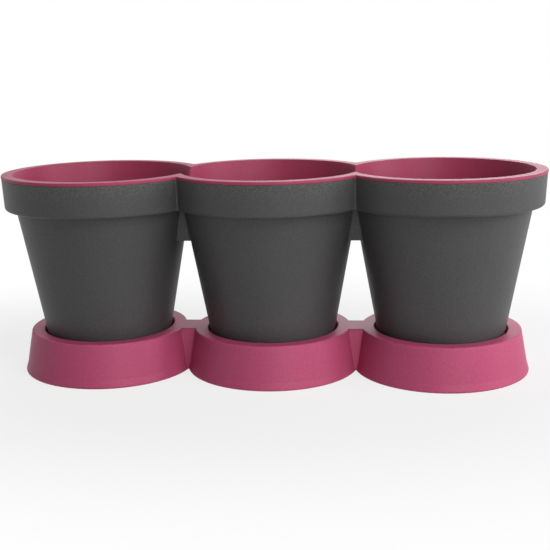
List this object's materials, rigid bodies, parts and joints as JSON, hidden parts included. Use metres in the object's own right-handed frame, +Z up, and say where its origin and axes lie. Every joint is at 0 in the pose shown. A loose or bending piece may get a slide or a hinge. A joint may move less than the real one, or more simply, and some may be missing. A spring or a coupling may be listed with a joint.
{
  "type": "indoor herb planter",
  "caption": "Row of joined tapered pots with a two-tone rim, a lift-out liner and a matching drip tray with ringed wells.",
  "frame": {"origin": "on the table under the middle pot, at the centre of the row", "axes": "+X along the row, +Y to the back, +Z up"},
  "size_m": [0.401, 0.1486, 0.15],
  "materials": {
    "fuchsia_tray": "fine matt texture from the mould",
    "anthracite_shell": "fine matt texture from the mould, with a faint sparkle",
    "fuchsia_liner": "smooth satin"
  },
  "bodies": {
    "tray": {"drip_tray": "fuchsia_tray"},
    "pots": {"outer_shell": "anthracite_shell"},
    "liner": {"inner_liner": "fuchsia_liner"}
  },
  "joints": [
    {"name": "pot_lift", "type": "slide", "parent": "tray", "child": "pots", "axis": [0, 0, 1], "range_m": [0, 0.06]},
    {"name": "liner_lift", "type": "slide", "parent": "pots", "child": "liner", "axis": [0, 0, 1], "range_m": [0, 0.16]}
  ]
}
